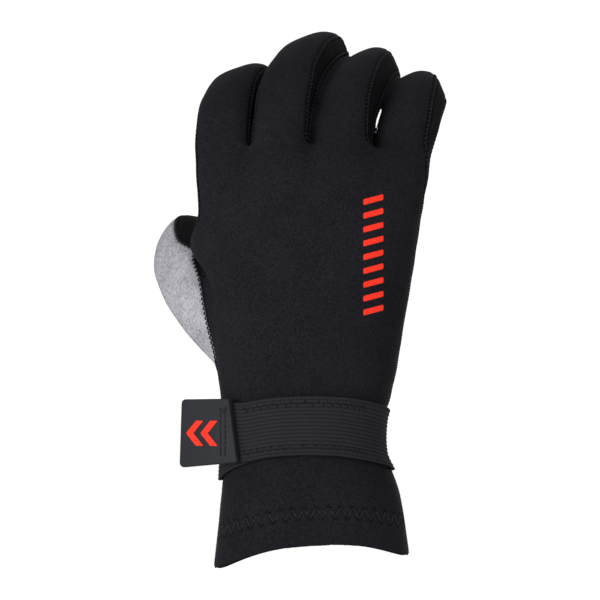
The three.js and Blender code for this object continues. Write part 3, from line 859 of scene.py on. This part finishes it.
def hand_point(level, angle, outward, lifted=True):
    """Points round a section of the hand, `outward` of its face."""
    level, angle, outward = np.broadcast_arrays(level, angle, outward)
    middle, half, back, palm = hand_section(np.maximum(level, 0))
    bend = lambda v: np.sign(v) * np.abs(v) ** (2 / HAND_SQUARENESS)
    sideways, depth = bend(np.cos(angle)), bend(np.sin(angle))
    y = depth * (np.where(depth < 0, back, palm) + outward)
    raised = hand_lift(np.maximum(level, 0), sideways, depth, y) if lifted else 0
    return np.stack([middle + sideways * (half + outward), y, level + raised], -1)


def lengths_along(line):
    return np.concatenate([[0], np.cumsum(np.linalg.norm(np.diff(line, axis=0), axis=1))])


def spaced(line, step):
    """A line of points resampled at equal steps."""
    lengths = lengths_along(line)
    count = max(int(round(lengths[-1] / step)), 1)
    at = np.linspace(0, lengths[-1], count + 1)
    return np.stack([np.interp(at, lengths, line[:, a]) for a in range(3)], 1)


def softened(line, passes):
    for _ in range(passes):
        line = line.copy()
        line[1:-1] = 0.25 * line[:-2] + 0.5 * line[1:-1] + 0.25 * line[2:]
    return line


# Needle holes of the hem's zigzag, all round the cuff, high and low by turns
HEM_LOW, HEM_HIGH, HEM_STITCHES = 11.3, 15.6, 86


def hem_needle_points():
    turns = np.linspace(0, 2 * math.pi, 721)
    ring = hand_point((HEM_LOW + HEM_HIGH) / 2, turns, 0.0)
    lengths = lengths_along(ring)
    at = (np.arange(HEM_STITCHES) + 0.5) / HEM_STITCHES * lengths[-1]
    levels = np.where(np.arange(HEM_STITCHES) % 2, HEM_HIGH, HEM_LOW)
    return settle(hand_point(levels, np.interp(at, lengths, turns), 0.0))[0]


hem_holes = hem_needle_points()


# The skin sinks at the seams, swells beside them and is dimpled by the hem's needle; painted
# shade darkens the needle holes and the seams' grooves
GROOVE_DEEP, GROOVE_WIDE = 0.42, 0.75
SWELL_HIGH, SWELL_AT, SWELL_WIDE = 0.16, 2.1, 1.1
DIMPLE_DEEP, DIMPLE_WIDE = 0.5, 0.85
HOLE_SHADE, SEAM_SHADE, SEAM_SHADE_WIDE = 0.3, 0.22, 1.1

apart = nearness(points, np.concatenate([points[edges[:, 0]], points[edges].mean(1)]))
groove = -GROOVE_DEEP * bell(apart, GROOVE_WIDE) + SWELL_HIGH * bell(apart - SWELL_AT, SWELL_WIDE)
at_holes = bell(nearness(points, hem_holes), DIMPLE_WIDE)
skin = points + (groove - DIMPLE_DEEP * at_holes)[:, None] * normals
# painted shade in the hem's needle holes and along the seams' grooves, for the skins' materials
sewn = HOLE_SHADE * at_holes + SEAM_SHADE * bell(apart, SEAM_SHADE_WIDE)


def shell(outer, faces, normals, wall):
    """A sheet of faces as a closed wall, with a note of its sharp edges."""
    count = len(outer)
    pairs = edge_pairs(faces)
    key = np.sort(pairs, axis=1)
    _, first, number = np.unique(key, axis=0, return_index=True, return_counts=True)
    rim = pairs[first[number == 1]]
    inner = outer - normals * wall
    a, b = rim.T
    walls = [np.stack([b, a, a + count], 1), np.stack([b, a + count, b + count], 1)]
    every = np.concatenate([faces, faces[:, ::-1] + count, *walls])
    return np.concatenate([outer, inner]), every, rim


def sharpen(piece, pairs):
    mesh = piece.data
    ends = np.empty(len(mesh.edges) * 2, np.int64)
    mesh.edges.foreach_get("vertices", ends)
    ends = np.sort(ends.reshape(-1, 2), axis=1)
    size = len(mesh.vertices)
    sharp = np.isin(ends[:, 0] * size + ends[:, 1], np.unique(pairs[:, 0] * size + pairs[:, 1]))
    mesh.attributes.new("sharp_edge", "BOOLEAN", "EDGE").data.foreach_set("value", sharp)


for number, (node, look) in PANELS.items():
    mine = faces[panel == number]
    used, local = np.unique(mine, return_inverse=True)
    local = local.reshape(-1, 3)
    solid, every, rim = shell(skin[used], local, normals[used], WALL)
    piece = add_mesh(f"{node}_skin", solid, every, LOOKS[look])
    set_values(piece, sewn=np.tile(sewn[used], 2))
    sharpen(piece, np.sort(np.concatenate([rim, rim + len(used)]), axis=1))
    attach(piece, SLOTS[look], node)


def loop_faces(rings, sides, closed):
    """Faces of a grid of rings; closed joins the last ring to the first."""
    r, s = np.meshgrid(np.arange(rings if closed else rings - 1), np.arange(sides), indexing="ij")
    a, b = r * sides + s, r * sides + (s + 1) % sides
    over = ((r + 1) % rings) * sides
    c, d = over + (s + 1) % sides, over + s
    return np.stack([a.ravel(), b.ravel(), c.ravel(), d.ravel()], 1).tolist()


def capped_faces(rings, sides):
    """Faces of an open row of rings and of its two ends."""
    ends = [list(range(sides))[::-1], [(rings - 1) * sides + n for n in range(sides)]]
    return loop_faces(rings, sides, False) + ends


def joined(parts):
    points, faces, start = [], [], 0
    for part_points, part_faces in parts:
        points.append(part_points)
        faces += [[start + n for n in face] for face in part_faces]
        start += len(part_points)
    return np.concatenate(points), faces


# Threads

THREAD_LEVEL = np.array((0.31, 0.17, 0.93))  # a direction that no thread follows


def tubes(lines, radius, sides=6):
    """Round threads along lines of points."""
    turns = np.arange(sides) / sides * 2 * math.pi
    parts = []
    for line in lines:
        along = unit(np.gradient(line, axis=0) + 1e-9)
        side = unit(np.cross(along, THREAD_LEVEL))
        up = np.cross(side, along)
        ring = (
            line[:, None]
            + radius * np.cos(turns)[None, :, None] * side[:, None]
            + radius * np.sin(turns)[None, :, None] * up[:, None]
        )
        faces = capped_faces(len(line), sides)
        parts.append((ring.reshape(-1, 3), [face[:1] + face[:0:-1] for face in faces]))
    return joined(parts)


SEAM_STITCH, SEAM_STITCH_WIDE, SEAM_THREAD = 1.0, 1.5, 0.25
HEM_THREAD, STRAP_THREAD, TAB_THREAD = 0.2, 0.17, 0.34
SHORTEST_SEAM = 4.0


def seam_stitches():
    """A flat zigzag over each seam, from chains of the skin's seam edges."""
    tree = tree_of(points)
    lines = []
    for chain in chains(edges):
        line = softened(points[chain], 4)
        if lengths_along(line)[-1] < SHORTEST_SEAM:
            continue
        line = spaced(line, SEAM_STITCH / 4)
        out = np.array([normals[tree.find(p)[1]] for p in line])
        for _ in range(4):
            out[1:-1] = unit(out[:-2] + 2 * out[1:-1] + out[2:])
        across = unit(np.cross(np.gradient(line, axis=0), out))
        swing = np.arcsin(np.sin(np.arange(len(line)) * math.pi / 4)) / (math.pi / 2)
        over = 0.12 + 0.1 * (1 - swing**2) - 0.2 * np.abs(swing) ** 6
        lines.append(
            line
            + across * (swing * SEAM_STITCH_WIDE / 2)[:, None]
            + out * over[:, None]
        )
    return lines


def stitched(starts, ends, shares, lifts):
    """Points at shares of the way from each start to its end, and how high they lie."""
    share = np.array(shares)[:, None]
    line = starts[:, None] * (1 - share) + ends[:, None] * share
    return line.reshape(-1, 3), np.tile(lifts, len(starts))[:, None]


def hem_stitches():
    shares, lifts = (0.0, 0.12, 0.35, 0.65, 0.88), (-0.42, 0.02, 0.1, 0.1, 0.02)
    line, lift = stitched(hem_holes, np.roll(hem_holes, -1, axis=0), shares, lifts)
    line, out = settle(line)
    line = line + out * lift
    return [np.concatenate([line, line[:1]])]


def sew(name, lines, radius, look, slot):
    attach(add_mesh(name, *tubes(lines, radius), LOOKS[look]), slot)


sew("seam_threads", seam_stitches(), SEAM_THREAD, "thread", "neoprene_side")
sew("hem_threads", hem_stitches(), HEM_THREAD, "hem", "neoprene_side")


# The cuff's edge, turned in and sewn down inside

HEM_TURNS = 180
# distance from the cuff's skin, height above its edge
HEM_SECTION = np.array([
    (-0.8, 0.1), (-1.5, -0.1), (-2.5, -0.12), (-3.5, 0.15),
    (-4.2, 0.9), (-4.55, 2.2), (-4.6, 6.0), (-4.55, 12.8),
    (-4.3, 13.5), (-3.7, 13.8), (-3.1, 13.6), (-2.85, 13.0),
    (-2.8, 6.0), (-2.8, 3.0), (-2.5, 1.3), (-1.8, 0.7),
])


def hem_fold():
    turns = np.arange(HEM_TURNS) / HEM_TURNS * 2 * math.pi
    ring = hand_point(HEM_SECTION[None, :, 1], turns[:, None], HEM_SECTION[None, :, 0])
    wave = 0.12 * np.sin(turns * HEM_STITCHES / 2)[:, None] * (HEM_SECTION[None, :, 1] > 9)
    ring[..., 2] += wave
    return ring.reshape(-1, 3), loop_faces(HEM_TURNS, len(HEM_SECTION), True)


hem = attach(add_mesh("cuff_hem_fold", *hem_fold(), LOOKS["side"]), "neoprene_side", "cuff_hem")


# The wrist strap

STRAP_WIDE, STRAP_THICK, STRAP_TAIL = 23.6, 1.6, 10.5
TAB_YAW = math.radians(30)
# turned in degrees, height of the strap's middle, distance from the cuff
STRAP_PATH = np.array([
    (112, 50.0, 0.6),
    (130, 47.6, 0.6),
    (180, 40.5, 0.6),
    (270, 42.5, 0.6),
    (360, 45.0, 0.6),
    (405, 48.6, 0.7),
    (430, 50.6, 1.5),
    (450, 51.1, 2.5),
    (468, 50.2, 2.6),
    (488, 48.1, 2.6),
])
RIBS, SELVEDGE, RIB_DEEP = 14, 1.3, 0.45
UNDER = 13  # points across the strap's inner face
# The two zigzag rows: their heights, and where they start, end and turn, in degrees
STRAP_ROWS, STRAP_ROW_TURNED = ((8.3, 9.6), (-9.3, -8.0)), (411, 486.5, 2.6)
# the needle holes' width and depth, and the painted shade in them
STRAP_HOLE_WIDE, STRAP_HOLE_DEEP, STRAP_HOLE_SHADE = 0.5, 0.45, 1.1
ALONG = np.array((-math.cos(TAB_YAW), math.sin(TAB_YAW), 0))
OUTWARDS = np.array((-math.sin(TAB_YAW), -math.cos(TAB_YAW), 0))
UP = np.array((0, 0, 1.0))


def strap_profile():
    """The strap's section: height, distance from its inner face, and rib height."""
    half = STRAP_WIDE / 2
    inner = half - SELVEDGE
    height = np.linspace(-inner, inner, RIBS * 6 + 1)
    swell = np.abs(np.sin((height + inner) / (2 * inner) * RIBS * math.pi)) ** 0.7
    edge = np.array([0.0, 0.35, 0.8])
    outer = np.concatenate([-half + edge, height, half - edge[::-1]])
    rise = np.concatenate([[0.25, 0.75, 0.8], swell, [0.8, 0.75, 0.25]])
    face = STRAP_THICK - RIB_DEEP * (1 - rise)
    face[[0, -1]] -= 0.3
    under = np.linspace(half, -half, UNDER)
    low = np.where(np.abs(under) > half - 0.5, 0.3, 0.0)
    both = ((outer, under), (face, low), (rise, np.full(UNDER, 0.5)))
    return [np.concatenate(pair) for pair in both]


def strap_at(turned, height, outward):
    """Points on the strap where it lies round the wrist."""
    fine = np.arange(STRAP_PATH[0, 0] - 30, STRAP_PATH[-1, 0] + 31)
    kernel = np.hanning(27) / np.hanning(27).sum()
    middle, out = (
        np.convolve(np.interp(fine, STRAP_PATH[:, 0], STRAP_PATH[:, c]), kernel, "same")
        for c in (1, 2)
    )
    level = np.interp(turned, fine, middle) + height
    return hand_point(level, -np.radians(turned), np.interp(turned, fine, out) + outward, False)


strap_root = strap_at(STRAP_PATH[-1, 0], 0.0, STRAP_THICK)


def beyond(start, along, height, out):
    """Points from a start, along the straight end of the strap, up and outwards."""
    along, height, out = np.broadcast_arrays(along, height, out)
    return (
        start + along[..., None] * ALONG + height[..., None] * UP + out[..., None] * OUTWARDS
    )


def strap_stitches():
    """Needle points of the two zigzag rows on the strap's outer end."""
    rows = []
    for low, high in STRAP_ROWS:
        turned = np.arange(*STRAP_ROW_TURNED)
        height = np.where(np.arange(len(turned)) % 2, high, low)
        rows.append(strap_at(turned, height, STRAP_THICK - 0.1))
    return rows


def strap():
    height, face, rise = strap_profile()
    turned = np.arange(STRAP_PATH[0, 0], STRAP_PATH[-1, 0] + 0.5)
    wound = strap_at(turned[:, None], height[None], face[None])
    ahead = np.linspace(0, STRAP_TAIL, 15)[2:]
    straight = beyond(strap_root, ahead[:, None], height[None], face[None] - STRAP_THICK)
    rings = np.concatenate([wound, straight])
    count, sides = rings.shape[:2]
    flat = rings.reshape(-1, 3)
    holes = np.concatenate(strap_stitches())
    pierced = bell(nearness(flat, holes), STRAP_HOLE_WIDE)
    inwards = np.tile((np.arange(sides) < sides - UNDER), count)
    centre = rings[:, -(UNDER + 1) // 2][:, None].repeat(sides, 1).reshape(-1, 3)
    flat = flat + (STRAP_HOLE_DEEP * pierced * inwards)[:, None] * unit(centre - flat + 1e-6)
    piece = add_mesh("wrist_strap_elastic", flat, capped_faces(count, sides), LOOKS["elastic"])
    lengths = lengths_along(rings[:, sides // 2])
    # painted shade in the needle holes of the strap's stitching
    dark = STRAP_HOLE_SHADE * pierced * inwards
    set_values(piece, along=np.repeat(lengths, sides), rib=np.tile(rise, count), sewn=dark)
    attach(piece, "elastic", "wrist_strap")


def strap_thread_lines():
    lines = []
    shares, lifts = (0.0, 0.2, 0.5, 0.8), (-0.3, 0.08, 0.14, 0.08)
    for row in strap_stitches():
        line, lift = stitched(row[:-1], row[1:], shares, lifts)
        lines.append(line + unit(line * (1, 1, 0) + (3.2, 0, 0)) * lift)
    return lines


strap()
sew("strap_threads", strap_thread_lines(), STRAP_THREAD, "thread", "elastic")


# The pull tab

# rise is how much higher the lower edge is at the strap
TAB = dict(length=26.4, height=27.6, thick=3.0, slant=3.8, rise=2.2, bevel=0.5)
TAB.update(corner=1.8, foot_corner=0.6)
TAB_OVERLAP, TAB_DROP, SEAT = 0.8, 0.4, 0.3
tab_foot = strap_root + OUTWARDS * SEAT + ALONG * TAB_OVERLAP - UP * TAB_DROP


def on_tab(along, height, out):
    return beyond(tab_foot, along, height, out)


def rounded(corners, radii, steps=6):
    """A polygon, counter-clockwise, with rounded corners, and its outward directions."""
    corners = np.array(corners, float)
    points, outward = [], []
    for i, (corner, radius) in enumerate(zip(corners, radii)):
        before = unit(corner - corners[i - 1])
        after = unit(corners[(i + 1) % len(corners)] - corner)
        turn = math.acos(np.clip(before @ after, -1, 1))
        cut = radius * math.tan(turn / 2)
        normal = np.array((before[1], -before[0]))
        centre = corner - before * cut - normal * radius
        for step in range(steps + 1):
            angle = turn * step / steps
            direction = normal * math.cos(angle) + before * math.sin(angle)
            points.append(centre + direction * radius)
            outward.append(direction)
    return np.array(points), np.array(outward)


def slab(corners, radii, low, high, bevel):
    """A flat piece of the tab with rounded corners and edges."""
    outline, outward = rounded(corners, radii)
    rings = []
    quarter = np.radians([90, 60, 30, 0])
    for angles, face, inwards in ((quarter, low, 1), (quarter[::-1], high, -1)):
        for angle in angles:
            ring = outline - outward * bevel * (1 - math.cos(angle))
            rings.append((ring, face + inwards * bevel * (1 - math.sin(angle))))
    points = np.concatenate([on_tab(ring[:, 0], ring[:, 1], level) for ring, level in rings])
    return points, capped_faces(len(rings), len(outline))


def pull_tab():
    half = TAB["height"] / 2
    corners = [
        (TAB["slant"], half),
        (0, TAB["rise"] - half),
        (TAB["length"] + 0.2, -half),
        (TAB["length"] - 0.8, half - 0.3),
    ]
    radii = (TAB["foot_corner"],) * 2 + (TAB["corner"],) * 2
    body = slab(corners, radii, 0, TAB["thick"], TAB["bevel"])
    attach(add_mesh("strap_tab_moulded", *body, LOOKS["rubber"]), "tab_rubber", "strap_tab")
    chevrons = []
    reach, arm, wide, edge = 4.6, 5.0, 3.4, 0.15
    low, high = TAB["thick"] - 0.2, TAB["thick"] + 0.45
    for tip in (16.6, 23.2):
        for side in (1, -1):
            ends = [(tip - reach, side * arm), (tip - reach - wide, side * arm)]
            shape = [(tip, 0), *ends, (tip - wide, 0)][::side]
            chevrons.append(slab(shape, (edge,) * 4, low, high, edge))
    attach(add_mesh("tab_chevrons", *joined(chevrons), LOOKS["red"]), "tab_rubber")
    lines = []
    share = np.linspace(0, 1, 6)
    lift = TAB["thick"] + 0.05 - 0.35 * np.abs(2 * share - 1) ** 3
    for column in (5.3, 7.4):  # two rows of stitches up the tab
        for start in np.arange(-9.0, 8.5, 2.15):
            lines.append(on_tab(column + 0.12 * (2 * share - 1), start + share * 1.8, lift))
    for start in (9.6, 10.8):  # and two across their upper ends
        lines.append(on_tab(4.2 + share * 2.4, start - share * 1.6, lift))
    sew("tab_threads", lines, TAB_THREAD, "thread", "tab_rubber")


pull_tab()


# Raised bars printed on the back, beside the little finger

PRINT_X, PRINT_LOW, PRINT_HIGH, PRINT_BARS = 24.6, 97.0, 141.0, 9
BAR_WIDE, BAR_TALL, BAR_SLANT, PRINT_THICK = 8.0, 2.3, 2.0, 0.16
PRINT_FROM = -22.0  # the depth from which the skin is looked for


def on_back(x, z):
    """Points of the skin's back, straight behind places in the picture."""
    y = np.full(len(x), PRINT_FROM)
    for _ in range(12):
        here = np.stack([x, y, z], 1)
        ahead = glove_distance(here + np.array((0, 0.1, 0)))
        now = glove_distance(here)
        y = y - np.clip(now / np.minimum((ahead - now) / 0.1, -0.3), -2, 2)
    here = np.stack([x, y, z], 1)
    return here, unit(gradient(glove_distance, here, 0.4))


def back_print():
    parts = []
    across, up = 13, 5
    for bar in range(PRINT_BARS):
        z = PRINT_LOW + (PRINT_HIGH - PRINT_LOW) * bar / (PRINT_BARS - 1)
        u, v = np.meshgrid(np.linspace(-0.5, 0.5, across), np.linspace(-0.5, 0.5, up))
        trim = 1 - 0.06 * (np.abs(v * 2) ** 6)
        x = (PRINT_X + u * BAR_WIDE * trim).ravel()
        place, out = on_back(x, (z + v * BAR_TALL + u * BAR_SLANT).ravel())
        index = np.arange(across * up).reshape(up, across)
        corner = [index[:-1, :-1], index[:-1, 1:], index[1:, 1:], index[1:, :-1]]
        quads = np.stack([c.ravel() for c in corner], 1)
        tris = np.concatenate([quads[:, [0, 1, 2]], quads[:, [0, 2, 3]]])
        solid, every, _ = shell(place + out * PRINT_THICK, tris, out, PRINT_THICK + 0.2)
        parts.append((solid, every.tolist()))
    return joined(parts)


attach(add_mesh("back_print_bars", *back_print(), LOOKS["red"], smooth=False), "neoprene_black")


# Floor, light and finish


def make_floor():
    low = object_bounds()[0].z - 0.02
    size = 12.0
    mesh = bpy.data.meshes.new("floor")
    mesh.from_pydata(
        [(-size, -size, low), (size, -size, low), (size, size, low), (-size, size, low)],
        [],
        [(0, 1, 2, 3)],
    )
    look = Look("pale_floor", 0.95, 0.0)
    look.shader.inputs["Base Color"].default_value = (0.95, 0.95, 0.95, 1)
    mesh.materials.append(look.material)
    floor = put("floor", mesh)


def make_lights():
    world = bpy.data.worlds.new("studio")
    bpy.context.scene.world = world
    world.use_nodes = True
    inputs = world.node_tree.nodes["Background"].inputs
    inputs["Color"].default_value = (1, 1, 1, 1)
    inputs["Strength"].default_value = 1.07
    target = Vector((0, 0, 0.1))
    for name, where, size, watts in (
        ("key", (-0.5, -0.66, 0.0), 0.5, 13.0),
        ("fill", (1.0, -0.9, 0.3), 0.8, 0.6),
        ("back", (0.3, 1.1, 0.8), 0.8, 2.0),
    ):
        data = bpy.data.lights.new(name, "AREA")
        data.energy = watts
        data.size = size
        lamp = put(name, data)
        lamp.location = where
        lamp.rotation_euler = (target - Vector(where)).to_track_quat("-Z", "Y").to_euler()
    bpy.context.scene.view_settings.view_transform = "Standard"


make_floor()
make_lights()
